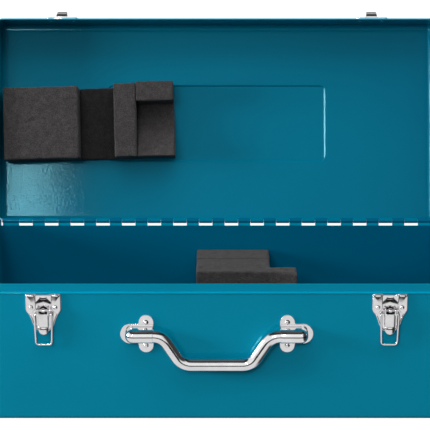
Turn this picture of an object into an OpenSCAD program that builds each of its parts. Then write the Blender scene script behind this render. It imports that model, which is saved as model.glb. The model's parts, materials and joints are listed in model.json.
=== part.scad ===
// Hinged steel carrying case with two draw latches, a swinging tube handle and foam packing.
// Millimetres. Origin at the middle of the base's underside, +X to the right, +Y to the
// hinge, +Z up. Lid pieces are drawn closed and then swung open about the hinge pin.

/* [Case] */
// Width of the case along X
case_w = 490; // [410:1:600]
// Depth of the case along Y
case_d = 224; // [200:1:320]
// Height of the base, from its underside to the top of the neck
base_h = 145; // [120:1:200]
// Height of the lid, from its rim to its top
lid_h = 50; // [46:1:80]
// Thickness of the sheet steel
sheet_t = 0.9; // [0.7:0.1:1.2]
// Outside radius of the upright corners
corner_r = 6; // [6:0.5:10]
// Inside radius of the base's bottom bend
base_bend_r = 3; // [2:0.5:4]
// Inside radius of the lid's top bend
lid_bend_r = 5; // [3:0.5:5]
// Height of the neck that the lid's rim fits over
neck_h = 8; // [6:0.5:12]
// How far the neck is set in from the wall
neck_inset = 2.2; // [2.2:0.1:3]
// Length of the raised field on the lid, along X
field_w = 244; // [120:1:300]
// Width of the raised field, from front to back
field_d = 84; // [40:1:120]
// Height of the raised field
field_rise = 1.2; // [0.4:0.1:1.5]

/* [Hinge] */
// Number of lid knuckles
knuckles = 16; // [8:1:16]
// Distance from one lid knuckle to the next
knuckle_pitch = 28.5; // [24:0.5:28.5]
// Width of the notch that each lid knuckle sits in
notch_w = 14.9; // [12:0.1:16]
// How far the row of knuckles sits to the right of the middle
knuckle_shift = 2; // [-3:0.5:3]
// Radius of the hinge pin
pin_r = 1.5; // [1.2:0.1:1.5]
// Angle that the lid is opened from closed
open_angle = 110; // [0:1:110]

/* [Latches] */
// Distance from the middle of the case to each latch
latch_x = 173; // [140:1:200]
// Width of a latch plate
plate_w = 35.6; // [32:0.1:40]
// Radius of the wire in the loop
wire_r = 1.1; // [0.9:0.05:1.1]
// Length of the loop, from its pivot to the middle of its bar
loop_l = 32.2; // [32:0.1:33]

/* [Handle] */
// Radius of the handle's tube
tube_r = 6.9; // [5:0.1:7]
// Radius of the tube's bends at their middle line
tube_bend_r = 16.5; // [12:0.5:20]
// Angle of each bend
tube_bend_a = 57; // [40:1:70]
// Length of the sloping part of the tube
tube_slope_l = 18.3; // [10:0.1:30]
// Length of the straight grip
grip_l = 51.8; // [40:0.1:120]

/* [Foam] */
// Height of the base's foam block
base_foam_h = 108; // [60:1:108]
// Height of the lid's foam faces above the panel
lid_foam_h = 40.3; // [30:0.1:40.5]
// Angle that the lid's foam lies out of square
lid_foam_turn = 1.5; // [0:0.1:2]

/* [Hidden] */
$fn = 48;
tiny = 0.01;          // overlap that joins pieces of one solid
lap = 0.02;           // overlap of one stretch of a bar with the next
run_gap = 0.05;       // radial clearance of a running fit
part_gap = 0.4;       // gap between pieces that pass each other

paint = [0.02, 0.42, 0.53];
chrome = [0.86, 0.86, 0.87];
zinc = [0.70, 0.71, 0.72];
foam = [0.16, 0.155, 0.16];

// Levels and axes of the case
shoulder_z = base_h - neck_h;
lid_rim_z = shoulder_z + part_gap;
lid_top_z = lid_rim_z + lid_h;
lid_inner_z = lid_top_z - sheet_t;
bead_r = 1.1;
bead_out = 0.5;
hem_h = 7;
pin_z = base_h - 3.5;
knuckle_r = 2.9;
pin_y = case_d / 2 + 1.6;
notch_drop = 5.2;
notch_gap = 0.3;
hinge_end = case_w / 2 - corner_r - 1.6;
base_corner_top = pin_z + 2;
base_corner_cut = 0.8;
lid_corner_rim = base_corner_top + 1.8;
pin_head_r = 2.2;
pin_head_t = 0.9;
lid_hinge_end = (knuckles - 1) * knuckle_pitch / 2 + notch_w / 2 - notch_gap;
field_y = pin_y - (case_d + pin_y - case_d / 2) / 2;
field_slope = 1.6;
field_corner_r = 4;

// Latch, measured outward from the front wall and up from the lever's pivot
lever_z = 119.5;
lever_out = 5;
loop_dz = -4.3;
loop_out = 4;
plate_t = 1.2;
plate_top = 15.3;
pad_out = 2;
pad_in = 6.3;
ear_in = 6;
ear_t = 1;
ear_r = 2.6;
latch_pin_r = 1.2;
latch_pin_end = 7.4;
lever_w = 10.8;
lever_t = 1;
lever_face = 7.4;
lever_top = -4.6;
lever_crease = -17.1;
lever_tip = -25.4;
loop_x = 8.9;
loop_bend_r = 3;
loop_end_bend_r = 1.5;
loop_splay = 2;
rivet_r = 1.5;
rivet_hole_r = 1.55;
rivet_x = 12;
rivet_dz = 2.2;
rivet_tail_t = 1;
rivet_tail_r = 2.4;

// Catch on the lid
catch_z = 139;
catch_h = 15;
catch_w = 35;
catch_hook_w = 11;
catch_web_z = 145.8;
catch_lip_z = 149.6;
catch_lip_out = 5.5;
catch_reach = 8.6;
catch_rivet_x = 12.8;
catch_rivet_z = 149.6;

// Handle
handle_z = 93.3;
handle_out = 7.6;
tube_end_l = 24.5;
tube_half = grip_l / 2 + 2 * tube_bend_r * sin(tube_bend_a)
    + tube_slope_l * cos(tube_bend_a) + tube_end_l;
bracket_in = 64;
bracket_t = 1.5;
bracket_end_x = tube_half - 1.6;
bracket_end_r = 9.7;
ear_x = 70.8;
ear_dz = 12.3;
ear_round_r = 6.8;
cover_t = 1.3;

// Foam
foam_skin = 0.2;
base_foam_left = -22;
base_foam_right = 58;
base_foam_back = 110.8;
base_foam_split = 77.6;
base_foam_front = 33.4;
foam_step_y = 49.6;
foam_step_x = 86;
foam_nose_y = 25;
block_w = 84;
bridge_w = 39.5;
pad_w = 25;
cradle_w = 42;
lid_foam_x = -237.2;
lid_foam_y = 68.2;

// Points along an arc in the plane
function arc(cx, cy, r, from, to, steps = 10) =
    [for (i = [0 : steps]) let (a = from + (to - from) * i / steps)
        [cx + r * cos(a), cy + r * sin(a)]];

// Sheet section of a plain base wall: X outward from the outer face, Y up
function base_section(top) = let (b = base_bend_r + sheet_t) concat(
    [[-corner_r, 0]], arc(-b, b, b, -90, 0), [[0, top], [-sheet_t, top]],
    arc(-b, b, base_bend_r, 0, -90), [[-corner_r, sheet_t]]);

// The same section with the rounded bead and the neck above it
function neck_section() = let (
        b = base_bend_r + sheet_t,
        cx = bead_out - bead_r,
        inner = -neck_inset - sheet_t) concat(
    [[-corner_r, 0]], arc(-b, b, b, -90, 0),
    arc(cx, shoulder_z - bead_r, bead_r, -acos(-cx / bead_r), 90),
    [[-neck_inset, shoulder_z], [-neck_inset, base_h], [inner, base_h],
     [inner, shoulder_z - sheet_t], [-sheet_t, shoulder_z - sheet_t - neck_inset]],
    arc(-b, b, base_bend_r, 0, -90), [[-corner_r, sheet_t]]);

// Section of a plain lid wall that starts at the height given
function lid_section(rim) = let (b = lid_bend_r + sheet_t) concat(
    [[-sheet_t, rim], [0, rim]], arc(-b, lid_top_z - b, b, 0, 90),
    [[-corner_r, lid_top_z], [-corner_r, lid_inner_z]],
    arc(-b, lid_top_z - b, lid_bend_r, 90, 0));

// The same section with its rim folded back inside as a hem
function hem_section() = let (b = lid_bend_r + sheet_t) concat(
    arc(-sheet_t, lid_rim_z + sheet_t, sheet_t, 180, 360),
    arc(-b, lid_top_z - b, b, 0, 90),
    [[-corner_r, lid_top_z], [-corner_r, lid_inner_z]],
    arc(-b, lid_top_z - b, lid_bend_r, 90, 0),
    [[-sheet_t, lid_rim_z + hem_h], [-2 * sheet_t, lid_rim_z + hem_h]]);

// One straight wall: side 0 is the rear, then left, front and right
module wall(side, points) {
    along = side % 2 == 0 ? case_w : case_d;
    across = side % 2 == 0 ? case_d : case_w;
    rotate([0, 0, 90 * side])
        translate([0, across / 2, 0])
            rotate([90, 0, 90])
                linear_extrude(along - 2 * corner_r, center = true)
                    polygon(points);
}

// One upright corner: 0 is rear right, then rear left, front left and front right
module corner(number, points) {
    sx = number == 0 || number == 3 ? 1 : -1;
    sy = number < 2 ? 1 : -1;
    translate([sx * (case_w / 2 - corner_r), sy * (case_d / 2 - corner_r), 0])
        rotate([0, 0, 90 * number])
            rotate_extrude(angle = 90)
                translate([corner_r, 0])
                    polygon(points);
}

module flat_sheet(z) {
    translate([0, 0, z + sheet_t / 2])
        cube([case_w - 2 * corner_r, case_d - 2 * corner_r, sheet_t], center = true);
}

// A bored barrel along the hinge line
module knuckle_barrel(half) {
    translate([0, pin_y, pin_z])
        rotate([90, 0, 90])
            linear_extrude(2 * half, center = true)
                difference() {
                    circle(knuckle_r);
                    circle(pin_r + run_gap);
                }
}

// The strip of wall that joins a barrel to the sheet between two heights
module knuckle_strip(half, low, high) {
    translate([-half, case_d / 2 - sheet_t, low])
        cube([2 * half, sheet_t, high - low]);
}

// Cutters across the hinge, one for each place in a row
module hinge_notches(places, width, low, high) {
    for (i = [0 : places - 1])
        translate([knuckle_shift + (i - (places - 1) / 2) * knuckle_pitch, pin_y,
                (low + high) / 2])
            cube([width, 4 * knuckle_r, high - low], center = true);
}

// Places children on the front wall: X right, Y up, Z outward
module on_front(x, z) {
    translate([x, -case_d / 2, z]) rotate([90, 0, 0]) children();
}

// Swings the closed lid's pieces open about the pin
module opened() {
    translate([0, pin_y, pin_z])
        rotate([-open_angle, 0, 0])
            translate([0, -pin_y, -pin_z])
                children();
}

// Places children inside the lid, as it is seen when open: Y from the hinge to the
// lid's front, Z out of the panel
module in_lid() {
    opened() translate([0, pin_y, lid_inner_z]) rotate([180, 0, 0]) children();
}

// Holes through a wall on the front for rivets at each place
module rivet_holes(places) {
    for (p = places)
        on_front(p[0], p[1]) translate([0, 0, -2 * sheet_t])
            cylinder(r = rivet_hole_r, h = 8 * sheet_t);
}

function latch_rivets_at(side) =
    [for (s = [-1, 1]) [side * latch_x + s * rivet_x, lever_z + rivet_dz]];
function catch_rivets_at(side) =
    [for (s = [-1, 1]) [side * latch_x + s * catch_rivet_x, catch_rivet_z]];
function handle_rivets_at(side) =
    [for (s = [-1, 1]) [side * ear_x, handle_z + s * ear_dz]];

// A domed rivet through a wall: head radius, head height, height of its seat
module rivets(places, head_r, head_h, seat) {
    ball_r = (head_r * head_r + head_h * head_h) / (2 * head_h);
    for (p = places)
        on_front(p[0], p[1]) {
            intersection() {
                translate([0, 0, seat + head_h - ball_r]) sphere(ball_r);
                translate([0, 0, seat]) cylinder(r = head_r + 1, h = head_h + 1);
            }
            translate([0, 0, -sheet_t - rivet_tail_t / 2])
                cylinder(r = rivet_r, h = seat + sheet_t + rivet_tail_t / 2 + tiny);
            translate([0, 0, -sheet_t - rivet_tail_t])
                cylinder(r = rivet_tail_r, h = rivet_tail_t);
        }
}

module base_shell() {
    notch_z = pin_z - notch_drop;
    color(paint)
    difference() {
        union() {
            for (side = [1 : 3]) wall(side, neck_section());
            for (number = [2, 3]) corner(number, neck_section());
            base_rear_corners();
            wall(0, base_section(notch_z));
            flat_sheet(0);
            difference() {
                union() {
                    knuckle_strip(hinge_end, notch_z - 1, pin_z);
                    knuckle_barrel(hinge_end);
                }
                hinge_notches(knuckles, notch_w, notch_z, pin_z + 2 * knuckle_r);
            }
        }
        for (side = [-1, 1]) {
            rivet_holes(latch_rivets_at(side));
            rivet_holes(handle_rivets_at(side));
        }
    }
}

// The rear corners rise beside the hinge, behind the ends of the lid's side walls
module base_rear_corners() {
    difference() {
        for (number = [0, 1]) corner(number, base_section(base_corner_top));
        translate([-case_w, case_d / 2 - corner_r - base_corner_cut, shoulder_z])
            cube([2 * case_w, 2 * base_corner_cut, neck_h]);
    }
}

module lid_shell() {
    notch_z = pin_z + notch_drop;
    color(paint)
    opened()
    difference() {
        union() {
            for (side = [1 : 3]) wall(side, hem_section());
            for (number = [2, 3]) corner(number, hem_section());
            for (number = [0, 1]) corner(number, lid_section(lid_corner_rim));
            wall(0, lid_section(notch_z));
            flat_sheet(lid_inner_z);
            field_body(sheet_t, lid_top_z - tiny);
            difference() {
                translate([knuckle_shift, 0, 0]) {
                    knuckle_strip(lid_hinge_end, pin_z, notch_z + 1);
                    knuckle_barrel(lid_hinge_end);
                }
                hinge_notches(knuckles - 1, knuckle_pitch - notch_w + 2 * notch_gap,
                    pin_z - 2 * knuckle_r, notch_z);
            }
        }
        field_body(0, lid_inner_z - tiny);
        for (side = [-1, 1]) rivet_holes(catch_rivets_at(side));
    }
}

// A low slab with sloping sides for the raised field on the lid
module field_body(grow, z) {
    translate([0, field_y, z]) hull() {
        linear_extrude(tiny) field_plan(grow + field_slope);
        translate([0, 0, field_rise]) linear_extrude(tiny) field_plan(grow);
    }
}

module field_plan(grow) {
    offset(r = field_corner_r + grow)
        square([field_w - 2 * field_corner_r, field_d - 2 * field_corner_r], center = true);
}

module hinge_pin() {
    length = 2 * hinge_end + 2 * tiny;
    color(zinc)
    translate([0, pin_y, pin_z]) rotate([0, 90, 0]) {
        cylinder(r = pin_r, h = length, center = true);
        for (s = [-1, 1])
            translate([0, 0, s * (hinge_end + notch_gap + pin_head_t / 2)])
                cylinder(r = pin_head_r, h = pin_head_t, center = true);
        cylinder(r = pin_r, h = 2 * (hinge_end + notch_gap + tiny), center = true);
    }
}

// Half of the latch plate's outline, from its top middle to its foot
function plate_half() = concat(
    [[0, plate_top - 1], [pad_in, plate_top - 1], [pad_in + 0.8, plate_top]],
    arc(plate_w / 2 - 2, plate_top - 2, 2, 90, 0, 4),
    [[plate_w / 2, -0.5], [14.6, -5], [12.6, -10], [10.6, -16.5]],
    arc(0, -13.5, 10.8, -16, -90, 6));

module latch_plate(side) {
    half = plate_half();
    mirrored = [for (i = [len(half) - 1 : -1 : 0]) [-half[i][0], half[i][1]]];
    color(chrome)
    difference() {
        on_front(side * latch_x, lever_z) {
            difference() {
                union() {
                    linear_extrude(plate_t) polygon(concat(half, mirrored));
                    for (s = [-1, 1]) scale([s, 1, 1]) latch_pad();
                }
                window();
            }
            for (s = [-1, 1])
                translate([s * (ear_in + ear_t / 2), 0, 0]) latch_ear();
        }
        rivet_holes(latch_rivets_at(side));
        latch_cross(side, latch_pin_r, 4 * ear_in);
    }
}

// The raised pad beside the middle channel, with a sloping lower edge
module latch_pad() {
    linear_extrude(pad_out)
        polygon(concat(
            [[pad_in + 1.2, plate_top - 0.4]],
            arc(plate_w / 2 - 2.4, plate_top - 2.4, 2, 90, 0, 4),
            [[plate_w / 2 - 0.4, -0.6], [14.3, -4.9], [10.6, -3], [pad_in + 1.2, 1]]));
}

// The arched opening behind the lever's pivot
module window() {
    translate([0, 0, -tiny]) linear_extrude(2 * plate_t) {
        translate([-4.8, -5]) square([9.6, 8]);
        translate([0, 2]) circle(4.8);
    }
}

// A lug that carries the lever's pin
module latch_ear() {
    rotate([0, 90, 0]) rotate([0, 0, 90])
        linear_extrude(ear_t, center = true) {
            translate([0, lever_out]) circle(ear_r);
            translate([-ear_r, 0.1]) square([2 * ear_r, lever_out - 0.1]);
        }
}

// A rod through the latch along its pivot axis
module latch_cross(side, r, length) {
    on_front(side * latch_x, lever_z)
        translate([0, 0, lever_out]) rotate([0, 90, 0])
            cylinder(r = r, h = length, center = true);
}

module latch_pin(side) {
    color(zinc) latch_cross(side, latch_pin_r, 2 * latch_pin_end);
}

// The lever is a channel whose cheeks hold the pin and the loop's ends
module latch_lever(side) {
    color(chrome)
    on_front(side * latch_x, lever_z)
    difference() {
        union() {
            for (s = [-1, 1])
                translate([s * (lever_w - lever_t) / 2, 0, 0]) lever_cheek();
            translate([-lever_w / 2, lever_crease, lever_face - lever_t])
                cube([lever_w, lever_top - lever_crease, lever_t]);
            lever_nose();
        }
        translate([0, 0, lever_out]) rotate([0, 90, 0])
            cylinder(r = latch_pin_r + run_gap, h = 2 * lever_w, center = true);
        translate([0, loop_dz, loop_out]) rotate([0, 90, 0])
            cylinder(r = wire_r + run_gap, h = 2 * lever_w, center = true);
    }
}

module lever_cheek() {
    rotate([0, 90, 0]) rotate([0, 0, 90])
        linear_extrude(lever_t, center = true) {
            hull() {
                translate([0, lever_out]) circle(2.4, $fn = 32);
                translate([loop_dz, loop_out]) circle(2.3, $fn = 32);
                translate([lever_top - 4, lever_face - 1.2]) circle(1.2, $fn = 32);
            }
            translate([lever_crease, lever_out])
                square([lever_top - 3 - lever_crease, lever_face - lever_out]);
        }
}

// The rounded finger lift at the lever's lower end
module lever_nose() {
    hull() {
        translate([-lever_w / 2, lever_crease - 0.1, lever_out])
            cube([lever_w, 0.3, lever_face - lever_out]);
        translate([0, lever_crease - 1.6, lever_face - 1.6])
            rotate([90, 0, 0]) cylinder(r = 2.8, h = 0.3, $fn = 32);
        translate([0, lever_tip + 2.2, lever_face - 1.2]) sphere(2.2, $fn = 24);
        translate([0, lever_crease - 4, lever_out + 0.6])
            cube([8, 0.3, 1], center = true);
    }
}

// A round bar drawn from its start along +Y, in steps of [length, turn to the left, bend radius]
module bent_bar(r, steps, i = 0) {
    if (i < len(steps)) {
        length = steps[i][0];
        turn = steps[i][1];
        bend = steps[i][2];
        translate([0, -lap, 0]) rotate([-90, 0, 0]) cylinder(r = r, h = length + 2 * lap);
        translate([0, length, 0])
            if (turn == 0) {
                bent_bar(r, steps, i + 1);
            } else {
                s = turn > 0 ? 1 : -1;
                translate([-s * bend, 0, 0]) {
                    mirror([s > 0 ? 0 : 1, 0, 0])
                        rotate_extrude(angle = abs(turn))
                            translate([bend, 0]) circle(r - tiny);
                    rotate([0, 0, turn])
                        translate([s * bend, 0, 0])
                            bent_bar(r, steps, i + 1);
                }
            }
    }
}

// The loop hangs from the lever's cheeks, narrower at its bar than at its pivot
module wire_loop(side) {
    inner_end = lever_w / 2 - lever_t - 0.2;
    leg = (loop_l - loop_bend_r - loop_end_bend_r) / cos(loop_splay);
    bar = 2 * (loop_x - leg * sin(loop_splay) - loop_bend_r);
    end_l = loop_x - inner_end - loop_end_bend_r;
    color(chrome)
    on_front(side * latch_x, lever_z + loop_dz)
        translate([-inner_end, 0, loop_out])
            rotate([0, 0, 90])
                bent_bar(wire_r, [
                    [end_l, 90 + loop_splay, loop_end_bend_r],
                    [leg, 90 - loop_splay, loop_bend_r],
                    [bar, 90 - loop_splay, loop_bend_r],
                    [leg, 90 + loop_splay, loop_end_bend_r],
                    [end_l, 0, 0]]);
}

module handle_bracket(side) {
    cover_r = tube_r + run_gap + cover_t;
    color(chrome)
    difference() {
        on_front(0, handle_z) scale([side, 1, 1])
        difference() {
            union() {
                linear_extrude(bracket_t) bracket_outline();
                translate([bracket_in, 0, 0]) rotate([90, 0, 90])
                    linear_extrude(bracket_end_x - bracket_in) {
                        translate([0, handle_out]) circle(cover_r);
                        translate([-cover_r, 0]) square([2 * cover_r, handle_out]);
                    }
                translate([bracket_end_x, 0, handle_out]) sphere(cover_r);
                translate([bracket_end_x, 0, 0]) cylinder(r = cover_r, h = handle_out);
            }
            translate([0, 0, -cover_r]) cube([4 * tube_half, 4 * cover_r, 2 * cover_r],
                center = true);
            translate([0, 0, handle_out]) rotate([0, 90, 0])
                cylinder(r = tube_r + run_gap, h = tube_half + part_gap);
        }
        rivet_holes(handle_rivets_at(side));
    }
}

// Plan of the bracket's base: two rivet ears and a round end
module bracket_outline() {
    translate([bracket_end_x, 0]) circle(bracket_end_r);
    translate([ear_x, -bracket_end_r])
        square([bracket_end_x - ear_x, 2 * bracket_end_r]);
    translate([ear_x - ear_round_r, -ear_dz]) square([2 * ear_round_r, 2 * ear_dz]);
    for (s = [-1, 1]) translate([ear_x, s * ear_dz]) circle(ear_round_r);
}

module carry_handle() {
    color(chrome)
    on_front(-tube_half, handle_z) translate([0, 0, handle_out])
        rotate([0, 0, -90])
            bent_bar(tube_r, [
                [tube_end_l, -tube_bend_a, tube_bend_r],
                [tube_slope_l, tube_bend_a, tube_bend_r],
                [grip_l, tube_bend_a, tube_bend_r],
                [tube_slope_l, -tube_bend_a, tube_bend_r],
                [tube_end_l, 0, 0]]);
}

// The catch is riveted to the lid's front; its hook holds the loop's bar
module catch(side) {
    color(chrome)
    opened()
    difference() {
        on_front(side * latch_x, 0) {
            translate([0, catch_z, 0]) linear_extrude(plate_t)
                offset(r = 3) translate([-catch_w / 2 + 3, 3])
                    square([catch_w - 6, catch_h - 6]);
            rotate([0, 90, 0]) rotate([0, 0, 90])
                linear_extrude(catch_hook_w, center = true)
                    polygon(hook_section());
            translate([0, catch_web_z - 1.3, 0]) linear_extrude(2.4)
                square([17, 2.4], center = true);
        }
        rivet_holes(catch_rivets_at(side));
    }
}

// Side view of the hook: X up, Y outward
function hook_section() = let (c = catch_lip_out, t = plate_t) concat(
    [[catch_web_z - 2.4, 0.5], [catch_web_z, 0.5], [catch_web_z, c - 1]],
    arc(catch_web_z + 1, c - 1, 1, 180, 90, 3),
    [[catch_lip_z - 1.4, c], [catch_lip_z, catch_reach - t],
     [catch_lip_z - 0.6, catch_reach], [catch_lip_z - 2.2, c + t]],
    arc(catch_web_z - 1.2, c - 1.2, 2.4, 90, 180, 5));

module latch_rivets(side) {
    color(chrome) rivets(latch_rivets_at(side), 2.4, 1.5, pad_out);
}

module handle_rivets(side) {
    color(chrome) rivets(handle_rivets_at(side), 2.6, 1.6, bracket_t);
}

module catch_rivets(side) {
    color(chrome) opened() rivets(catch_rivets_at(side), 3, 1.9, plate_t);
}

// The rear foam's lower edge is cut back to clear the bend in the sheet
module base_foam_rear() {
    depth = base_foam_back - base_foam_split - foam_skin;
    color(foam)
    translate([base_foam_left, base_foam_split + foam_skin, sheet_t])
        rotate([90, 0, 90])
            linear_extrude(base_foam_right - base_foam_left)
                polygon([[0, 0], [depth - base_bend_r, 0], [depth, base_bend_r],
                    [depth, base_foam_h], [0, base_foam_h]]);
}

// The front foam reaches out to the right, and its nose swells forward
module base_foam_front() {
    swell = 60;
    reach = foam_step_x - base_foam_right;
    color(foam)
    translate([0, 0, sheet_t]) linear_extrude(base_foam_h)
        polygon(concat(
            [[base_foam_left, base_foam_split], [base_foam_left, base_foam_front]],
            [for (i = [0 : 8]) let (u = i / 8)
                [base_foam_right + reach * u,
                 base_foam_front - (base_foam_front - foam_nose_y) * u * u]],
            [[foam_step_x, foam_step_y], [base_foam_right, foam_step_y],
             [base_foam_right, base_foam_split]]));
}

// Places children on the lid's foam patch, with X along it from its left end
module on_lid_foam(start) {
    in_lid() translate([lid_foam_x, lid_foam_y, 0]) rotate([0, 0, lid_foam_turn])
        translate([start, 0, 0]) children();
}

// A foam piece whose face is at the height given, with its outer lower edge cut back
module lid_foam_piece(width, depth, height, cut = 0) {
    rotate([90, 0, 0]) translate([0, 0, -depth])
        linear_extrude(depth)
            polygon([[0, cut + foam_skin], [cut, foam_skin], [width - foam_skin, foam_skin],
                [width - foam_skin, height], [0, height]]);
}

module lid_foam_block() {
    color(foam) on_lid_foam(0) lid_foam_piece(block_w, 80.5, lid_foam_h, lid_bend_r + 1);
}

module lid_foam_bridge() {
    color(foam) on_lid_foam(block_w) lid_foam_piece(bridge_w, 81, 9);
}

module lid_foam_pad() {
    color(foam) on_lid_foam(block_w + bridge_w) lid_foam_piece(pad_w, 82.5, lid_foam_h);
}

// The cradle has a flush pad at its top and a scooped ramp below it
module lid_foam_cradle() {
    top = 84;
    pad = 62;
    lip = 18;
    scoop = 9;
    color(foam)
    on_lid_foam(block_w + bridge_w + pad_w)
        rotate([90, 0, 90])
            linear_extrude(cradle_w)
                polygon(concat(
                    [[0, foam_skin], [top, foam_skin], [top, lid_foam_h], [pad, lid_foam_h]],
                    [for (i = [0 : 8]) let (u = i / 8)
                        [pad - (pad - lip) * u, scoop + (lid_foam_h - 12 - scoop) * u * u]],
                    [[0, lid_foam_h - 2]]));
}

base_shell();
hinge_pin();
latch_plate(-1);  // left_latch_plate
latch_plate(1);  // right_latch_plate
latch_pin(-1);  // left_latch_pin
latch_pin(1);  // right_latch_pin
latch_rivets(-1);  // left_latch_rivets
latch_rivets(1);  // right_latch_rivets
latch_lever(-1);  // left_latch_lever
latch_lever(1);  // right_latch_lever
wire_loop(-1);  // left_wire_loop
wire_loop(1);  // right_wire_loop
handle_bracket(-1);  // left_handle_bracket
handle_bracket(1);  // right_handle_bracket
handle_rivets(-1);  // left_handle_rivets
handle_rivets(1);  // right_handle_rivets
carry_handle();
base_foam_rear();
base_foam_front();
lid_shell();
catch(-1);  // left_catch
catch(1);  // right_catch
catch_rivets(-1);  // left_catch_rivets
catch_rivets(1);  // right_catch_rivets
lid_foam_block();
lid_foam_bridge();
lid_foam_pad();
lid_foam_cradle();
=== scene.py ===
"""Looks for the open steel carrying case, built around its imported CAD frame.

Lengths are in metres in the row frame: +X right, +Y to the hinge, +Z up. Hardware is drawn
in panel coordinates of its own, X right, Y up and Z out of the panel, in millimetres.
"""
import json
import math

import bmesh
import bpy
from mathutils import Matrix, Vector, noise


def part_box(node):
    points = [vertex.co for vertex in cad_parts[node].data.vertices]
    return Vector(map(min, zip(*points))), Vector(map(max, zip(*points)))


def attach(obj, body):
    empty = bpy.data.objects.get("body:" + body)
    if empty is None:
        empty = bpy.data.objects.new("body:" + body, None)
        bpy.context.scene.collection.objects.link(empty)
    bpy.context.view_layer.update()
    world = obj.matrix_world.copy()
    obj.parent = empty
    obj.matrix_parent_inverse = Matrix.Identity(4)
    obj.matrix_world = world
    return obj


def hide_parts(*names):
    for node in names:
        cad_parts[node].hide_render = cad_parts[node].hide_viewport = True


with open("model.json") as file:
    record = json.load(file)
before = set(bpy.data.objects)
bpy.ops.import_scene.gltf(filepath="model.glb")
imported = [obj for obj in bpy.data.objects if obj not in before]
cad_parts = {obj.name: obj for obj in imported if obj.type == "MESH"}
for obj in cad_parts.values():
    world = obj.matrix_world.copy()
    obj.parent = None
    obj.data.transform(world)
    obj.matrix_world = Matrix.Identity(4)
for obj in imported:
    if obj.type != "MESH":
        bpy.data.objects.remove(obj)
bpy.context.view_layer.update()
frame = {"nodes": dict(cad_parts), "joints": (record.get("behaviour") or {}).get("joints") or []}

MM = 0.001
TAU = 2 * math.pi

# ---------------------------------------------------------------- places from the frame

JOINTS = {j["name"]: j for j in frame["joints"]}
SIDES = {"left": -1, "right": 1}


def pivot(joint):
    """Where a joint's axis is, in metres."""
    return Vector(JOINTS[joint]["pos_m"])


def closed_box(node):
    """Lowest and highest corner of a lid node, in millimetres, with the lid swung shut."""
    points = [TO_CLOSED @ v.co for v in frame["nodes"][node].data.vertices]
    low = Vector([min(p[i] for p in points) for i in range(3)]) / MM
    high = Vector([max(p[i] for p in points) for i in range(3)]) / MM
    return low, high


def node_box(node):
    """Lowest and highest corner of a CAD node at rest, in millimetres."""
    low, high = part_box(node)
    return low / MM, high / MM


HINGE = pivot("lid_hinge")
OPEN_ANGLE = math.radians(-JOINTS["lid_hinge"]["range_deg"][0])
TO_OPEN = (
    Matrix.Translation(HINGE)
    @ Matrix.Rotation(-OPEN_ANGLE, 4, "X")
    @ Matrix.Translation(-HINGE)
)
TO_CLOSED = TO_OPEN.inverted()
PLATE_LOW, PLATE_HIGH = node_box("right_latch_plate")
FRONT = PLATE_HIGH.y

# ---------------------------------------------------------------- materials


def new_material(name, **values):
    """A principled material and the tools to wire it: nodes, links and the shader."""
    material = bpy.data.materials.new(name)
    material.use_nodes = True
    shader = material.node_tree.nodes["Principled BSDF"]
    for socket, value in values.items():
        shader.inputs[socket.replace("_", " ")].default_value = value
    return material, material.node_tree.nodes, material.node_tree.links, shader


def object_coordinates(nodes):
    """The object coordinates of a new texture coordinate node."""
    return nodes.new("ShaderNodeTexCoord").outputs["Object"]


def noise_node(nodes, links, scale, detail=2.0, roughness=0.5, vector=None):
    """Noise over object coordinates, or over another vector."""
    node = nodes.new("ShaderNodeTexNoise")
    node.inputs["Scale"].default_value = scale
    node.inputs["Detail"].default_value = detail
    node.inputs["Roughness"].default_value = roughness
    links.new(vector or object_coordinates(nodes), node.inputs["Vector"])
    return node


def ramp_node(nodes, links, source, stops):
    """A colour ramp over a value, with stops of (position, colour or grey)."""
    node = nodes.new("ShaderNodeValToRGB")
    elements = node.color_ramp.elements
    while len(elements) < len(stops):
        elements.new(0.5)
    for element, (position, colour) in zip(elements, stops):
        element.position = position
        if isinstance(colour, (int, float)):
            colour = (colour,) * 3
        element.color = (*colour[:3], 1.0)
    links.new(source, node.inputs["Fac"])
    return node


def bump_node(nodes, links, height, strength, distance, normal=None):
    """A bump from a height, on top of another normal if one is given."""
    node = nodes.new("ShaderNodeBump")
    node.inputs["Strength"].default_value = strength
    node.inputs["Distance"].default_value = distance
    links.new(height, node.inputs["Height"])
    if normal is not None:
        links.new(normal, node.inputs["Normal"])
    return node.outputs["Normal"]


def math_node(nodes, links, operation, first, second=0.0):
    """One math operation on two values, each a number or an output socket."""
    node = nodes.new("ShaderNodeMath")
    node.operation = operation
    for socket, value in zip(node.inputs, (first, second)):
        if isinstance(value, (int, float)):
            socket.default_value = value
        else:
            links.new(value, socket)
    return node.outputs[0]


FACING_OUT = 0.3
BARREL_R = 3.2 * MM


def painted_shade_mask(nodes, links, to_upright, middle, half, outward):
    """1 where the painted shade goes, on a shell's inner faces and its hinge barrels, and 0
    outside.

    The inner faces lie in a box between its two skins and don't face the outward side.
    """
    facing = nodes.new("ShaderNodeVectorMath")
    facing.operation = "DOT_PRODUCT"
    facing.inputs[1].default_value = outward
    links.new(nodes.new("ShaderNodeTexCoord").outputs["Normal"], facing.inputs[0])
    mapping = nodes.new("ShaderNodeMapping")
    mapping.inputs["Rotation"].default_value = to_upright.to_euler()
    mapping.inputs["Location"].default_value = to_upright.translation - middle
    links.new(object_coordinates(nodes), mapping.inputs["Vector"])
    split = nodes.new("ShaderNodeSeparateXYZ")
    links.new(mapping.outputs["Vector"], split.inputs["Vector"])
    mask = math_node(nodes, links, "LESS_THAN", facing.outputs["Value"], FACING_OUT)
    for axis, limit in zip("XYZ", half):
        distance = math_node(nodes, links, "ABSOLUTE", split.outputs[axis])
        within = math_node(nodes, links, "LESS_THAN", distance, limit)
        mask = math_node(nodes, links, "MULTIPLY", within, mask)
    return math_node(nodes, links, "MAXIMUM", mask, barrel_shade_mask(nodes, links))


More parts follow.
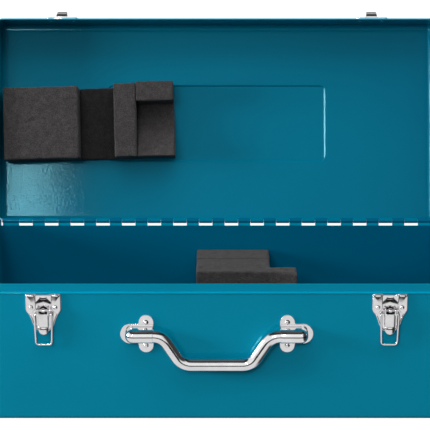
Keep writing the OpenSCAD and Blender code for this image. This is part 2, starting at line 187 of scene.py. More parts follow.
def barrel_shade_mask(nodes, links):
    """1 near the hinge pin, where the rolled barrels get the painted shade of the inner faces."""
    place = nodes.new("ShaderNodeMapping")
    place.inputs["Location"].default_value = (0, -HINGE.y, -HINGE.z)
    place.inputs["Scale"].default_value = (0, 1, 1)
    links.new(object_coordinates(nodes), place.inputs["Vector"])
    length = nodes.new("ShaderNodeVectorMath")
    length.operation = "LENGTH"
    links.new(place.outputs["Vector"], length.inputs[0])
    return math_node(nodes, links, "LESS_THAN", length.outputs["Value"], BARREL_R)


OUTER_COAT = ((0.0, 0.248, 0.390), (0.0, 0.265, 0.417))
# Darker inner colours: painted shade for the inside of the lid and, darker still, of the base.
LID_INNER_SHADE = ((0.0, 0.124, 0.206), (0.0, 0.135, 0.220))
BASE_INNER_SHADE = ((0.0, 0.088, 0.168), (0.0, 0.096, 0.180))


def paint_material(name, inner_shade, *mask):
    """Gloss teal enamel over steel, with orange peel, and a darker colour inside as painted
    shade.
    """
    material, nodes, links, shader = new_material(
        name, Roughness=0.2, Specular_IOR_Level=0.13, Specular_Tint=(0.32, 0.85, 1.0, 1.0)
    )
    clouds = noise_node(nodes, links, 7.0, 3.0)
    coat_and_shade = []
    for low, high in (OUTER_COAT, inner_shade):
        coat_and_shade.append(ramp_node(nodes, links, clouds.outputs["Fac"], [(0.3, low), (0.7, high)]))
    mix = nodes.new("ShaderNodeMix")
    mix.data_type = "RGBA"
    links.new(painted_shade_mask(nodes, links, *mask), mix.inputs["Factor"])
    links.new(coat_and_shade[0].outputs["Color"], mix.inputs["A"])
    links.new(coat_and_shade[1].outputs["Color"], mix.inputs["B"])
    links.new(mix.outputs["Result"], shader.inputs["Base Color"])
    smears = noise_node(nodes, links, 24.0, 5.0, 0.65)
    gloss = ramp_node(nodes, links, smears.outputs["Fac"], [(0.3, 0.045), (0.75, 0.09)])
    links.new(gloss.outputs["Color"], shader.inputs["Roughness"])
    peel = noise_node(nodes, links, 420.0, 1.5)
    waves = noise_node(nodes, links, 9.0, 0.5)
    slow = bump_node(nodes, links, waves.outputs["Fac"], 0.12, 0.004)
    normal = bump_node(nodes, links, peel.outputs["Fac"], 0.12, 0.0006, slow)
    links.new(normal, shader.inputs["Normal"])
    return material


def chrome_material():
    """Bright nickel-chrome plate with a faint haze and the soft ripple of stamped steel."""
    material, nodes, links, shader = new_material("bright_chrome", Metallic=1.0)
    tone = noise_node(nodes, links, 60.0, 3.0)
    colour = ramp_node(
        nodes, links, tone.outputs["Fac"],
        [(0.3, (0.79, 0.78, 0.79)), (0.7, (0.88, 0.87, 0.88))],
    )
    links.new(colour.outputs["Color"], shader.inputs["Base Color"])
    haze = noise_node(nodes, links, 140.0, 4.0, 0.6)
    gloss = ramp_node(nodes, links, haze.outputs["Fac"], [(0.35, 0.06), (0.8, 0.16)])
    links.new(gloss.outputs["Color"], shader.inputs["Roughness"])
    ripple = noise_node(nodes, links, 170.0, 1.0)
    links.new(
        bump_node(nodes, links, ripple.outputs["Fac"], 0.15, 0.0004), shader.inputs["Normal"]
    )
    return material


def zinc_material():
    """Zinc-plated wire with the fine draw lines that run along it."""
    material, nodes, links, shader = new_material(
        "zinc_wire", Metallic=1.0, Anisotropic=0.3
    )
    mapping = nodes.new("ShaderNodeMapping")
    mapping.inputs["Scale"].default_value = (1.0, 30.0, 30.0)
    links.new(object_coordinates(nodes), mapping.inputs["Vector"])
    lines = noise_node(nodes, links, 90.0, 3.0, 0.6, mapping.outputs["Vector"])
    colour = ramp_node(
        nodes, links, lines.outputs["Fac"],
        [(0.3, (0.50, 0.50, 0.52)), (0.7, (0.66, 0.66, 0.67))],
    )
    links.new(colour.outputs["Color"], shader.inputs["Base Color"])
    gloss = ramp_node(nodes, links, lines.outputs["Fac"], [(0.3, 0.24), (0.7, 0.36)])
    links.new(gloss.outputs["Color"], shader.inputs["Roughness"])
    links.new(
        bump_node(nodes, links, lines.outputs["Fac"], 0.2, 0.0002), shader.inputs["Normal"]
    )
    return material


def shadow_sheet_material():
    """Near-black sheet steel, mottled at random: painted shadow for the latch's window and slit.
    """
    material, nodes, links, shader = new_material("painted_shadow_sheet", Metallic=1.0, Roughness=0.45)
    mottle = noise_node(nodes, links, 300.0, 3.0)
    colour = ramp_node(
        nodes, links, mottle.outputs["Fac"],
        [(0.3, (0.012, 0.013, 0.016)), (0.7, (0.03, 0.03, 0.034))],
    )
    links.new(colour.outputs["Color"], shader.inputs["Base Color"])
    return material


def foam_material(name, tone):
    """Charcoal open-cell foam: cells near a millimetre, paler on the walls between them."""
    material, nodes, links, shader = new_material(
        name, Roughness=0.95, Specular_IOR_Level=0.15, Sheen_Weight=0.06, Sheen_Roughness=0.5,
    )
    cells = nodes.new("ShaderNodeTexVoronoi")
    cells.feature = "F1"
    cells.inputs["Scale"].default_value = 950.0
    links.new(object_coordinates(nodes), cells.inputs["Vector"])
    patches = noise_node(nodes, links, 170.0, 5.0, 0.75)
    low, high = 0.034 * tone, 0.060 * tone
    base = ramp_node(
        nodes, links, patches.outputs["Fac"],
        [(0.34, (low, low * 0.93, low * 0.94)), (0.68, (high, high * 0.93, high * 0.94))],
    )
    walls = ramp_node(nodes, links, cells.outputs["Distance"], [(0.1, 0.55), (0.75, 1.35)])
    mix = nodes.new("ShaderNodeMix")
    mix.data_type = "RGBA"
    mix.blend_type = "MULTIPLY"
    mix.inputs["Factor"].default_value = 1.0
    links.new(base.outputs["Color"], mix.inputs["A"])
    links.new(walls.outputs["Color"], mix.inputs["B"])
    links.new(mix.outputs["Result"], shader.inputs["Base Color"])
    links.new(
        bump_node(nodes, links, cells.outputs["Distance"], 0.7, 0.0008), shader.inputs["Normal"]
    )
    return material


SHEET = 0.9 * MM
NECK = 8 * MM
RIM_OVER_PIN = 3.5 * MM


def shell_paints():
    """Paint for the two shells: each one's painted inner shade lies in a box that ends within its
    sheet.

    The base's inset allows for the bead, which stands proud of the walls.
    """
    inset, half_sheet = 1.1 * SHEET, 0.5 * SHEET
    base_low, base_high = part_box("base_shell")
    shoulder = HINGE.z + RIM_OVER_PIN - NECK
    half_w, half_d = base_high.x - inset, -base_low.y - inset
    base = paint_material(
        "teal_enamel_base", BASE_INNER_SHADE, Matrix(), Vector((0, 0, shoulder / 2)),
        (half_w, half_d, shoulder / 2 - half_sheet), Vector((0, 0, -1)),
    )
    low, high = closed_box("lid_shell")
    lid_top, rim = high.z * MM, low.z * MM
    lid = paint_material(
        "teal_enamel_lid", LID_INNER_SHADE, TO_CLOSED, Vector((0, 0, (lid_top + rim) / 2)),
        (high.x * MM - half_sheet, half_d, (lid_top - rim) / 2 - half_sheet),
        TO_OPEN.to_3x3() @ Vector((0, 0, 1)),
    )
    return base, lid


BASE_PAINT, LID_PAINT = shell_paints()
CHROME = chrome_material()
ZINC = zinc_material()
SHADOW_BLACK = shadow_sheet_material()
FOAM = foam_material("charcoal_foam", 0.85)
# A darker copy of the foam: painted shade for the bridge down in the recess.
RECESS_SHADE_FOAM = foam_material("painted_shade_foam", 0.38)

# ---------------------------------------------------------------- mesh tools


def on_front(x, z):
    """Panel coordinates in millimetres to metres on the case's front wall."""
    turn = Matrix(((1, 0, 0, x), (0, 0, -1, FRONT), (0, 1, 0, z), (0, 0, 0, 1)))
    return Matrix.Scale(MM, 4) @ turn


def build(name, parts, place, material, sharp=32.0):
    """One object out of several (points, faces) solids, placed and shaded smooth."""
    points, faces = [], []
    for part_points, part_faces in parts:
        start = len(points)
        points += [Vector(p) for p in part_points]
        faces += [[start + i for i in face] for face in part_faces]
    mesh = bpy.data.meshes.new(name)
    mesh.from_pydata([place @ p for p in points], [], faces)
    work = bmesh.new()
    work.from_mesh(mesh)
    bmesh.ops.remove_doubles(work, verts=work.verts, dist=1e-7)
    bmesh.ops.dissolve_degenerate(work, edges=work.edges, dist=1e-7)
    bmesh.ops.recalc_face_normals(work, faces=work.faces)
    work.to_mesh(mesh)
    work.free()
    for polygon in mesh.polygons:
        polygon.use_smooth = True
    mesh.set_sharp_from_angle(angle=math.radians(sharp))
    mesh.materials.append(material)
    piece = bpy.data.objects.new(name, mesh)
    bpy.context.scene.collection.objects.link(piece)
    return piece


def finish_piece(piece, body, slot, *nodes):
    """Rides a piece on its body and hides the CAD nodes it stands for; the slot is not used."""
    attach(piece, body)
    if nodes:
        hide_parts(*nodes)


def arc(cx, cy, r, start, stop, steps):
    """Points along an arc, with its angles in degrees."""
    return [
        (
            cx + r * math.cos(math.radians(start + (stop - start) * i / steps)),
            cy + r * math.sin(math.radians(start + (stop - start) * i / steps)),
        )
        for i in range(steps + 1)
    ]


def loft(rings, closed=False):
    """A solid skinned over rings of the same number of points, capped unless it closes."""
    count = len(rings[0])
    points = [p for ring in rings for p in ring]
    faces = []
    last = len(rings) if closed else len(rings) - 1
    for i in range(last):
        here, there = i * count, ((i + 1) % len(rings)) * count
        for j in range(count):
            k = (j + 1) % count
            faces.append([here + j, here + k, there + k, there + j])
    if not closed:
        faces.append(list(range(count))[::-1])
        faces.append([len(points) - count + j for j in range(count)])
    return points, faces


def lathe(profile, x=0.0, y=0.0, steps=32):
    """A turned solid about a line along Z, from a profile of (radius, z)."""
    rings = []
    for i in range(steps):
        turn = TAU * i / steps
        rings.append([(x + r * math.cos(turn), y + r * math.sin(turn), z) for r, z in profile])
    return loft(rings, closed=True)


def outline_solid(outlines, low, high, soft, resolution=3):
    """A flat solid between two heights from closed outlines, with softened edges."""
    curve = bpy.data.curves.new("outline", "CURVE")
    curve.dimensions = "2D"
    curve.fill_mode = "BOTH"
    curve.extrude = (high - low) / 2 - soft
    curve.bevel_depth = soft
    curve.bevel_resolution = resolution
    curve.offset = -soft
    for outline in outlines:
        spline = curve.splines.new("POLY")
        spline.points.add(len(outline) - 1)
        for point, (x, y) in zip(spline.points, outline):
            point.co = (x, y, 0.0, 1.0)
        spline.use_cyclic_u = True
    helper = bpy.data.objects.new("outline", curve)
    bpy.context.scene.collection.objects.link(helper)
    mesh = bpy.data.meshes.new_from_object(helper.evaluated_get(
        bpy.context.evaluated_depsgraph_get()))
    middle = (low + high) / 2
    points = [(v.co.x, v.co.y, v.co.z + middle) for v in mesh.vertices]
    faces = [list(p.vertices) for p in mesh.polygons]
    bpy.data.objects.remove(helper)
    bpy.data.curves.remove(curve)
    bpy.data.meshes.remove(mesh)
    return points, faces


def moved(part, matrix):
    """A part's points carried by a matrix."""
    points, faces = part
    return [tuple(matrix @ Vector(p)) for p in points], faces


def mirrored_x(part):
    """A part mirrored left to right."""
    return moved(part, Matrix.Scale(-1, 4, (1, 0, 0)))


def bent_path(steps, start, heading, bend_steps=14):
    """Points of a planar line: each step is a length, a turn to the left and its radius."""
    x, y = start
    a = math.radians(heading)
    path = [(x, y)]
    for length, turn, radius in steps:
        x, y = x + length * math.cos(a), y + length * math.sin(a)
        path.append((x, y))
        if turn:
            side = math.copysign(1, turn)
            cx, cy = x - side * radius * math.sin(a), y + side * radius * math.cos(a)
            for i in range(1, bend_steps + 1):
                b = a + math.radians(turn) * i / bend_steps
                path.append((cx + side * radius * math.sin(b), cy - side * radius * math.cos(b)))
            a += math.radians(turn)
            x, y = path[-1]
    return path


def tube(path, z, radius, sides=32, round_ends=0.0):
    """A round bar along a planar path at height z, its ends softened over a short length."""
    stations = []
    last = len(path) - 1
    for i, (x, y) in enumerate(path):
        before, after = path[max(i - 1, 0)], path[min(i + 1, last)]
        dx, dy = after[0] - before[0], after[1] - before[1]
        size = math.hypot(dx, dy)
        stations.append((x, y, -dy / size, dx / size, dx / size, dy / size))

    def ring(x, y, nx, ny, r):
        """One round of points across the bar."""
        return [
            (
                x + nx * r * math.cos(TAU * j / sides),
                y + ny * r * math.cos(TAU * j / sides),
                z + r * math.sin(TAU * j / sides),
            )
            for j in range(sides)
        ]

    rings = []
    for i, (x, y, nx, ny, tx, ty) in enumerate(stations):
        if round_ends and i in (0, last):
            inward = 1 if i == 0 else -1
            stages = [
                ring(
                    x + inward * tx * round_ends * (1 - math.cos(math.radians(a))),
                    y + inward * ty * round_ends * (1 - math.cos(math.radians(a))),
                    nx, ny, radius - round_ends * (1 - math.sin(math.radians(a))),
                )
                for a in (0, 30, 60, 90)
            ]
            rings += stages if i == 0 else stages[::-1]
        else:
            rings.append(ring(x, y, nx, ny, radius))
    return loft(rings)


def side_plate(outline, x0, x1, soft=0.2):
    """A flat piece that stands across X, from an outline of (y, z) points."""
    cy = sum(p[0] for p in outline) / len(outline)
    cz = sum(p[1] for p in outline) / len(outline)
    size = max(math.hypot(y - cy, z - cz) for y, z in outline)
    rings = []
    for x, inset in ((x0, soft), (x0 + soft, 0), (x1 - soft, 0), (x1, soft)):
        k = 1 - inset / size
        rings.append([(x, cy + k * (y - cy), cz + k * (z - cz)) for y, z in outline])
    return loft(rings)


def with_mirror(points):
    """An outline's right half, from its top middle down, and its mirror image."""
    return points + [(-x, y) for x, y in reversed(points) if x > 1e-6]


# ---------------------------------------------------------------- painted steel and pins


def give(node, material):
    """Paints a CAD node that stays in view."""
    cad_node = frame["nodes"][node]
    cad_node.data.materials.clear()
    cad_node.data.materials.append(material)


give("base_shell", BASE_PAINT)
give("lid_shell", LID_PAINT)
for pin in ("hinge_pin", "left_latch_pin", "right_latch_pin"):
    give(pin, ZINC)

# ---------------------------------------------------------------- latches

LEVER = pivot("right_lever_pivot") / MM
LOOP = pivot("right_loop_pivot") / MM
LATCH_X, LEVER_Z, LEVER_OUT = LEVER.x, LEVER.z, FRONT - LEVER.y
LOOP_DZ, LOOP_OUT = LOOP.z - LEVER.z, FRONT - LOOP.y
PLATE_HALF_W = (PLATE_HIGH.x - PLATE_LOW.x) / 2
PLATE_RISE = 0.8
PLATE_TOP = PLATE_HIGH.z - LEVER_Z + PLATE_RISE
PLATE_T = 1.2


def latch_plate_parts():
    """Stamped plate: two rolled pads, a curved slit, an arched window and a rimmed tongue."""
    w, top = PLATE_HALF_W, PLATE_TOP
    tongue = [(w, -0.5), (14.6, -5), (12.6, -10), (10.6, -16.5)]
    foot = arc(0, -13.5, 10.8, -16, -90, 8)
    outline = with_mirror(
        [(0, top - 1), (6.3, top - 1), (7.1, top)] + arc(w - 2, top - 2, 2, 90, 0, 6)
        + tongue + foot
    )
    window = with_mirror(arc(0, -1.6, 4.3, 90, 0, 8) + [(4.3, -7)])
    slit = arc(0, 19.2, 8.6, 244, 296, 8) + arc(0, 19.2, 7.5, 296, 244, 8)
    parts = [outline_solid([outline, window, slit], 0, PLATE_T, 0.35)]
    pad = (
        [(7.5, top - 0.3)] + arc(w - 2.6, top - 2.6, 2.3, 90, 0, 6)
        + [(w - 0.3, -0.8), (14.2, -5.2), (10.8, -3.4), (7.5, 0.8)]
    )
    roll = tube([(8.9, top - 1.5), (w - 2.8, top - 1.5)], 1.7, 1.35, 16, 1.2)
    rim_path = [(w - 0.9, -1.2), (13.8, -5.3), (11.8, -10), (9.8, -16.3)]
    rim_path += arc(0, -13.5, 10.0, -16, -88, 8)
    rim = tube(rim_path, 1.15, 0.8, 12, 0.5)
    ear = arc(0, LEVER_OUT, 2.6, 0, 180, 14) + [(-2.6, 0.1), (2.6, 0.1)]
    half = [outline_solid([pad], 0.3, 2.3, 0.95, 5), roll, rim, side_plate(ear, 6, 7, 0.25)]
    for part in half:
        parts += [part, mirrored_x(part)]
    return parts


def shadow_sheet_parts():
    """A dark sheet behind the plate: painted shadow that shows in the plate's window and slit."""
    dark_sheet = with_mirror([(0, 12.6), (5.4, 12.6), (5.4, -8)])
    return [outline_solid([dark_sheet], 0.05, 0.45, 0.1, 1)]


LEVER_HALF_W = 5.4
LEVER_FACE = 7.4
LEVER_SHEET = 1.0


def channel_ring(y, half_w, face, depth, crown):
    """Cross-section of the lever at a height: a crowned face between two cheeks."""
    t = min(LEVER_SHEET, half_w * 0.45)
    corner = min(1.3, half_w * 0.5)
    outer = [(half_w, face - depth)]
    outer += arc(half_w - corner, face - corner, corner, 0, 70, 5)
    outer += [(half_w * k, face + crown * (1 - k * k)) for k in (0.45, 0.2)]
    inner = [(half_w * 0.25, face - t), (half_w - t - 0.3, face - t - 0.2),
             (half_w - t, face - min(depth, t + 0.6))]
    inner += [(half_w - t, face - depth)]
    right = outer + [(0, face + crown)]
    loop = right + [(-x, z) for x, z in reversed(outer)]
    loop += [(-x, z) for x, z in reversed(inner)] + [(0, face - t)] + inner
    return [(x, y, z) for x, z in loop]


def lever_parts():
    """Draw lever: a folded channel, a crease, and a bill that bulges for the fingertip."""
    face, w = LEVER_FACE, LEVER_HALF_W
    channel = [(-3.3, w - 0.3, face - 0.5, 2.2, 0.15), (-3.6, w, face, 3.2, 0.3)]
    channel += [(y, w, face, 2.9, 0.35) for y in (-6, -9, -12, -15)]
    channel += [(-16.4, w, face, 2.6, 0.3), (-17.1, w - 0.1, face - 0.9, 1.8, 0.2)]
    channel += [(-17.7, w - 0.1, face - 0.5, 2.4, 0.9), (-19, w - 0.3, face - 0.3, 2.6, 1.1)]
    for step in range(1, 9):
        turn = math.radians(11 * step)
        channel.append((
            -19 - 6.4 * math.sin(turn), (w - 0.3) * math.cos(turn) ** 0.75 + 0.1,
            face - 0.3 - 0.9 * (1 - math.cos(turn)), 2.6 * math.cos(turn) + 0.4,
            1.1 * math.cos(turn),
        ))
    parts = [loft([channel_ring(*ring) for ring in channel])]
    cheek = arc(0, LEVER_OUT, 2.4, -60, 110, 10) + arc(-4.6, LEVER_FACE - 1.3, 1.2, 90, 180, 4)
    cheek += [(-10, 6.0), (-10, 4.6)] + arc(LOOP_DZ, LOOP_OUT, 2.3, 200, 290, 6)
    part = side_plate(cheek, w - LEVER_SHEET, w)
    parts += [part, mirrored_x(part)]
    barrel = lathe([(0.0, -1.9), (1.6, -1.9), (2.1, -1.4), (2.1, 1.4), (1.6, 1.9), (0.0, 1.9)])
    turn = Matrix.Translation((0, 0, LEVER_OUT)) @ Matrix.Rotation(math.pi / 2, 4, "Y")
    parts.append(moved(barrel, turn))
    return parts


def wire_loop_parts():
    """A bent wire bail whose ends turn in to the lever's cheeks."""
    wire_r, splay, bend, end_bend = 1.1, 2, 3, 1.5
    loop_x, inner_end = 8.9, LEVER_HALF_W - LEVER_SHEET - 0.2
    loop_l = LOOP.z - node_box("right_wire_loop")[0].z - wire_r
    leg = (loop_l - bend - end_bend) / math.cos(math.radians(splay))
    bar = 2 * (loop_x - leg * math.sin(math.radians(splay)) - bend)
    end = loop_x - inner_end - end_bend
    steps = [(end, 90 + splay, end_bend), (leg, 90 - splay, bend), (bar, 90 - splay, bend),
             (leg, 90 + splay, end_bend), (end, 0, 0)]
    return [tube(bent_path(steps, (-inner_end, LOOP_DZ), 180), LOOP_OUT, wire_r, 20, 0.3)]


def rivet_part(x, y, seat, head_r, head_h):
    """A domed rivet through the sheet, with its spread tail inside."""
    sheet, tail_r, shank_r = SHEET / MM, 2.4, 1.5
    ball = (head_r ** 2 + head_h ** 2) / (2 * head_h)
    reach = math.degrees(math.asin(head_r / ball))
    profile = [(0.0, -sheet - 1.0), (tail_r - 0.3, -sheet - 1.0), (tail_r, -sheet - 0.7),
               (tail_r, -sheet), (shank_r, -sheet), (shank_r, seat), (head_r, seat)]
    profile += arc(0, seat + head_h - ball, ball, 90 - reach, 90, 8)[1:]
    return lathe(profile, x, y, 28)


def latch_rivet_parts():
    """The two rivets that hold a latch plate."""
    spread, up, seat, head_r, head_h = 12, 2.2, 2.0, 2.4, 1.5
    return [rivet_part(s * spread, up, seat, head_r, head_h) for s in (-1, 1)]


CATCH_LOW, CATCH_HIGH = closed_box("right_catch")


def catch_parts():
    """The catch on the lid: a stamped plate, and a hook that narrows from its root to its lip."""
    w, low, high = (CATCH_HIGH.x - CATCH_LOW.x) / 2, CATCH_LOW.z, CATCH_HIGH.z
    round_r, plate_t = 3.0, 1.2
    outline = with_mirror(
        [(0, high)] + arc(w - round_r, high - round_r, round_r, 90, 0, 6)
        + arc(w - round_r, low + round_r, round_r, 0, -90, 6) + [(0, low)]
    )
    web, lip, reach, bent = 145.8, 149.6, 8.6, 5.5
    sections = [
        (8.4, (web - 0.1, 0.5), (web - 2.4, 0.5)), (8.1, (web - 0.1, 1.6), (web - 2.6, 1.6)),
        (6.3, (web, 2.7), (web - 2.8, 2.7)), (5.8, (web, 4.4), (web - 3.4, 4.4)),
        (5.6, (web + 0.3, bent - 0.3), (web - 2.6, bent + 0.5)),
        (5.5, (web + 1.0, bent), (web - 1.2, bent + 1.2)),
        (5.5, (lip - 1.4, bent), (lip - 2.2, bent + 1.2)),
        (5.3, (lip, reach - 1.2), (lip - 0.6, reach)),
    ]
    hook = loft([
        [(-half, *under), (half, *under), (half, *over), (-half, *over)]
        for half, under, over in sections
    ])
    return [outline_solid([outline], 0, plate_t, 0.35), hook]


def make_latches():
    """Both latches and both catches, on their bodies."""
    for name, side in SIDES.items():
        place = on_front(side * LATCH_X, LEVER_Z)
        made = (
            ("plate", latch_plate_parts(), "base", "latch_plate"),
            ("rivets", latch_rivet_parts(), "base", "latch_rivets"),
            ("lever", lever_parts(), f"{name}_lever", "latch_lever"),
            ("loop", wire_loop_parts(), f"{name}_loop", "wire_loop"),
        )
        # A dark sheet behind each plate stands in for the shade in its window and slit.
        dark_sheet = build(f"{name}_latch_shadow_sheet", shadow_sheet_parts(), place, SHADOW_BLACK)
        finish_piece(dark_sheet, "base", "plated_steel")
        for what, parts, body, node in made:
            piece = build(f"{name}_latch_{what}_form", parts, place, CHROME)
            finish_piece(piece, body, "chrome", f"{name}_{node}")
        place = TO_OPEN @ on_front(side * LATCH_X, 0)
        catch = build(f"{name}_catch_form", catch_parts(), place, CHROME)
        finish_piece(catch, "lid", "chrome", f"{name}_catch")
        give(f"{name}_catch_rivets", CHROME)


# ---------------------------------------------------------------- handle

HANDLE = pivot("handle_pivot") / MM
HANDLE_Z, HANDLE_OUT = HANDLE.z, FRONT - HANDLE.y
TUBE_LOW, TUBE_HIGH = node_box("carry_handle")
TUBE_R = (TUBE_HIGH.y - TUBE_LOW.y) / 2
TUBE_HALF = TUBE_HIGH.x
EAR_X, EAR_DZ, EAR_R = 70.8, 12.3, 6.8
FOOT_T, FOOT_R = 1.5, 9.7


def handle_parts():
    """The bent tube, hanging down."""
    bend, slope, grip, end, radius = 57, 18.3, 51.8, 24.5, 16.5
    steps = [(end, -bend, radius), (slope, bend, radius), (grip, bend, radius),
             (slope, -bend, radius), (end, 0, 0)]
    return [tube(bent_path(steps, (-TUBE_HALF, 0), 0, 18), HANDLE_OUT, TUBE_R, 48, 1.5)]


def cover_arch(r, flare=1.0):
    """Outline of a cover's outside over the foot, with a skirt that flares out to it."""
    skirt = [(r + 1.6 * flare, 1.2), (r + 0.6 * flare, 1.75), (r + 0.15 * flare, 3.0)]
    return skirt + arc(0, HANDLE_OUT, r, 0, 180, 24) + [(-y, z) for y, z in reversed(skirt)]


def cover_ring(x, out_r, in_r):
    """Cross-section of the hollow half barrel at x."""
    back = [(-in_r, 1.2)] + arc(0, HANDLE_OUT, in_r, 180, 0, 24) + [(in_r, 1.2)]
    return [(x, y, z) for y, z in cover_arch(out_r) + back]


def bracket_parts():
    """The right bracket: a flanged foot with two ears, and a half barrel with a domed end."""
    foot_x = TUBE_HALF - 1.6
    outer, inner, start = TUBE_R + 0.5, TUBE_R + 0.05, EAR_X - EAR_R
    dome_x, dome_l = foot_x - 2.4, 7.6
    upper = [(start, 0)] + arc(EAR_X, EAR_DZ, EAR_R, 180, 0, 16)
    upper += arc(EAR_X + EAR_R + 2.6, FOOT_R + 2.4, 2.6, 180, 262, 5)
    upper += arc(foot_x, 0, FOOT_R, 84, 0, 14)
    outline = upper + [(x, -y) for x, y in reversed(upper[1:-1])]
    rings = [cover_ring(start, outer - 0.5, inner), cover_ring(start + 0.15, outer - 0.15, inner)]
    rings += [cover_ring(x, outer, inner) for x in (start + 0.6, foot_x - 6, dome_x)]
    dome = []
    for turn in range(2, 91, 4):
        a = math.radians(turn)
        r = max(outer * math.cos(a), 0.05)
        x = dome_x + dome_l * math.sin(a)
        dome.append([(x, y, z) for y, z in cover_arch(r, r / outer)])
    return [outline_solid([outline], 0, FOOT_T, 0.45), loft(rings), loft(dome)]


def handle_rivet_parts():
    """The two rivets of the right bracket."""
    head_r, head_h = 2.6, 1.6
    return [rivet_part(EAR_X, s * EAR_DZ, FOOT_T, head_r, head_h) for s in (-1, 1)]


def make_handle():
    """The handle, its brackets and their rivets."""
    place = on_front(0, HANDLE_Z)
    piece = build("carry_handle_form", handle_parts(), place, CHROME)
    finish_piece(piece, "handle", "chrome", "carry_handle")
    for what, parts in (("bracket", bracket_parts()), ("rivets", handle_rivet_parts())):
        for name, side in SIDES.items():
            placed = [mirrored_x(part) for part in parts] if side < 0 else parts
            piece = build(f"{name}_handle_{what}_form", placed, place, CHROME)
            finish_piece(piece, "base", "chrome", f"{name}_handle_{what}")


# ---------------------------------------------------------------- foam


def foam_form(node, material):
    """The cut foam: its CAD solid with softened, slightly uneven edges and faces."""
    voxel, wave, pores, nick_depth = 1.3, 0.35, 0.2, 2.5
    wave_scale, pore_scale, nick_scale, nick_above = 0.045, 0.35, 0.12, 0.42
    source = frame["nodes"][node]
    helper = bpy.data.objects.new(node + "_helper", source.data.copy())
    bpy.context.scene.collection.objects.link(helper)
    remesh = helper.modifiers.new("voxels", "REMESH")
    remesh.mode = "VOXEL"
    remesh.voxel_size = voxel * MM
    remesh.use_smooth_shade = True
    smooth = helper.modifiers.new("edges", "SMOOTH")
    smooth.factor = 0.5
    smooth.iterations = 1
    mesh = bpy.data.meshes.new_from_object(
        helper.evaluated_get(bpy.context.evaluated_depsgraph_get()))
    bpy.data.objects.remove(helper)
    shift, nick_shift = Vector((sum(node.encode()) % 97, 0, 0)), Vector((0, 50, 0))
    normals = [vertex.normal.copy() for vertex in mesh.vertices]
    for vertex, normal in zip(mesh.vertices, normals):
        place = vertex.co / MM + shift
        swell = wave * noise.noise(place * wave_scale) + pores * noise.noise(place * pore_scale)
        nick = max(0.0, noise.noise(place * nick_scale + nick_shift) - nick_above)
        vertex.co += normal * (swell - nick_depth * nick) * MM
    mesh.materials.clear()
    mesh.materials.append(material)
    piece = bpy.data.objects.new(node + "_form", mesh)
    bpy.context.scene.collection.objects.link(piece)
    body = "lid" if node.startswith("lid") else "base"
    finish_piece(piece, body, "foam", node)


make_latches()
make_handle()
# The bridge foam takes the darker copy, as painted shade for the recess it sits in.
for foam_node in frame["nodes"]:
    if "foam" in foam_node:
        foam_form(foam_node, RECESS_SHADE_FOAM if "bridge" in foam_node else FOAM)

# ---------------------------------------------------------------- floor, light and camera


def make_floor():
    """A floor that glows white to the camera, is dim to other light and hides in reflections."""
    mesh = bpy.data.meshes.new("floor")
    half = 6.0
    mesh.from_pydata(
        [(-half, -half, 0), (half, -half, 0), (half, half, 0), (-half, half, 0)],
        [], [(0, 1, 2, 3)],
    )
    floor = bpy.data.objects.new("floor", mesh)
    bpy.context.scene.collection.objects.link(floor)
    material, nodes, links, shader = new_material(
        "pale_floor", Base_Color=(0.05, 0.05, 0.05, 1.0), Roughness=0.9,
        Specular_IOR_Level=0.1, Emission_Color=(1.0, 1.0, 1.0, 1.0),
    )
    path = nodes.new("ShaderNodeLightPath")
    links.new(path.outputs["Is Camera Ray"], shader.inputs["Emission Strength"])
    floor.visible_glossy = False
    mesh.materials.append(material)


def area_light(name, place, target, size, power, glossy=True):
    """A soft rectangular light, seen in reflections only if it is glossy."""
    light = bpy.data.lights.new(name, "AREA")
    light.shape = "RECTANGLE"
    light.size, light.size_y = size
    light.energy = power
    lamp = bpy.data.objects.new(name, light)
    lamp.location = place
    lamp.rotation_euler = (Vector(target) - Vector(place)).to_track_quat("-Z", "Y").to_euler()
    lamp.visible_glossy = glossy
    bpy.context.scene.collection.objects.link(lamp)


# Stops of (position, grey): up from the horizon, up from straight below, and out to the right.
STUDIO = [
    (0.0, 0.5), (0.04, 0.5), (0.07, 0.02), (0.50, 0.02), (0.55, 1.0), (0.82, 1.0),
    (0.87, 0.03), (0.94, 0.03), (1.0, 0.25),
]
CARDS_BY_HEIGHT = [
    (0.0, 0.84), (0.352, 0.84), (0.366, 0.01), (0.485, 0.01), (0.500, 1.0), (0.86, 1.0),
    (0.885, 0.02), (0.96, 0.03), (1.0, 0.12),
]
CARDS_TO_RIGHT = [(0.0, 1.0), (0.40, 1.0), (0.60, 0.05), (1.0, 0.05)]
STUDIO_STRENGTH, CARD_STRENGTH, BACKDROP_STRENGTH = 0.9, 0.95, 1.0


def card_colour(nodes, links, direction):
    """The studio's cards: bands by height over the whole sphere, and dark to the right."""
    height = nodes.new("ShaderNodeMapRange")
    height.inputs["From Min"].default_value = -1.0
    links.new(direction.outputs["Z"], height.inputs["Value"])
    bands = ramp_node(nodes, links, height.outputs["Result"], CARDS_BY_HEIGHT)
    side = ramp_node(nodes, links, direction.outputs["X"], CARDS_TO_RIGHT)
    cards = nodes.new("ShaderNodeMix")
    cards.data_type = "RGBA"
    cards.blend_type = "MULTIPLY"
    cards.inputs["Factor"].default_value = 1.0
    links.new(bands.outputs["Color"], cards.inputs["A"])
    links.new(side.outputs["Color"], cards.inputs["B"])
    return cards.outputs["Result"]


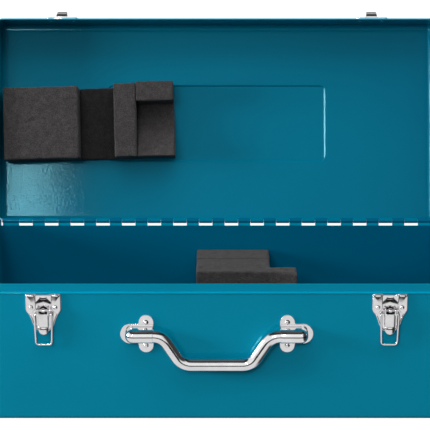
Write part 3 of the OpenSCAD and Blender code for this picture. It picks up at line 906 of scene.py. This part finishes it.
def make_world():
    """A pale studio for diffuse light, cards for reflections and a white backdrop."""
    world = bpy.data.worlds.new("studio")
    world.use_nodes = True
    nodes, links = world.node_tree.nodes, world.node_tree.links
    coordinates = nodes.new("ShaderNodeTexCoord")
    direction = nodes.new("ShaderNodeSeparateXYZ")
    links.new(coordinates.outputs["Generated"], direction.inputs["Vector"])
    studio = ramp_node(nodes, links, direction.outputs["Z"], STUDIO)
    cards = card_colour(nodes, links, direction)
    path = nodes.new("ShaderNodeLightPath")
    shown = nodes["Background"]
    shown.inputs["Strength"].default_value = STUDIO_STRENGTH
    links.new(studio.outputs["Color"], shown.inputs["Color"])
    for ray, colour, strength in (
        ("Is Glossy Ray", cards, CARD_STRENGTH), ("Is Camera Ray", None, BACKDROP_STRENGTH),
    ):
        light = nodes.new("ShaderNodeBackground")
        light.inputs["Color"].default_value = (1.0, 1.0, 1.0, 1.0)
        light.inputs["Strength"].default_value = strength
        if colour is not None:
            links.new(colour, light.inputs["Color"])
        mix = nodes.new("ShaderNodeMixShader")
        links.new(path.outputs[ray], mix.inputs["Fac"])
        links.new(shown.outputs[0], mix.inputs[1])
        links.new(light.outputs["Background"], mix.inputs[2])
        shown = mix
    links.new(shown.outputs["Shader"], nodes["World Output"].inputs["Surface"])
    bpy.context.scene.world = world


CAMERA_PLACE = (0.0, -1.8596, 0.7565)
CAMERA_DOWN = 17.14
CAMERA_LENS, CAMERA_SHIFT = 155.76, -0.004


def make_camera():
    """Square on to the front, looking down on it through a long lens."""
    camera = bpy.data.cameras.new("camera")
    camera.sensor_width = 36.0
    camera.lens = CAMERA_LENS
    camera.shift_x = CAMERA_SHIFT
    camera.clip_end = 50.0
    seen = bpy.data.objects.new("camera", camera)
    seen.location = CAMERA_PLACE
    seen.rotation_euler = (math.radians(90 - CAMERA_DOWN), 0, 0)
    bpy.context.scene.collection.objects.link(seen)
    bpy.context.scene.camera = seen


make_floor()
make_world()
make_camera()
area_light("overhead", (0.0, -0.5, 2.4), (0.0, 0.0, 0.1), (2.4, 1.6), 34.0, glossy=False)
area_light("window", (-0.478, -2.1, 1.15), (-0.2, 0.12, 0.18), (0.13, 0.30), 4.6)
area_light("front_fill", (-0.5, -2.1, 1.3), (0.0, 0.1, 0.15), (1.2, 0.6), 13.0, glossy=False)
area_light("left_card", (-2.0, -0.45, 0.55), (0.0, 0.1, 0.3), (0.5, 0.5), 38.0)
area_light("right_fill", (2.2, 0.1, 0.9), (0.0, 0.0, 0.1), (1.2, 1.2), 14.0, glossy=False)
area_light("back_fill", (0.3, 2.5, 1.2), (0.0, 0.0, 0.2), (1.4, 1.0), 14.0, glossy=False)
bpy.context.scene.view_settings.view_transform = "Standard"
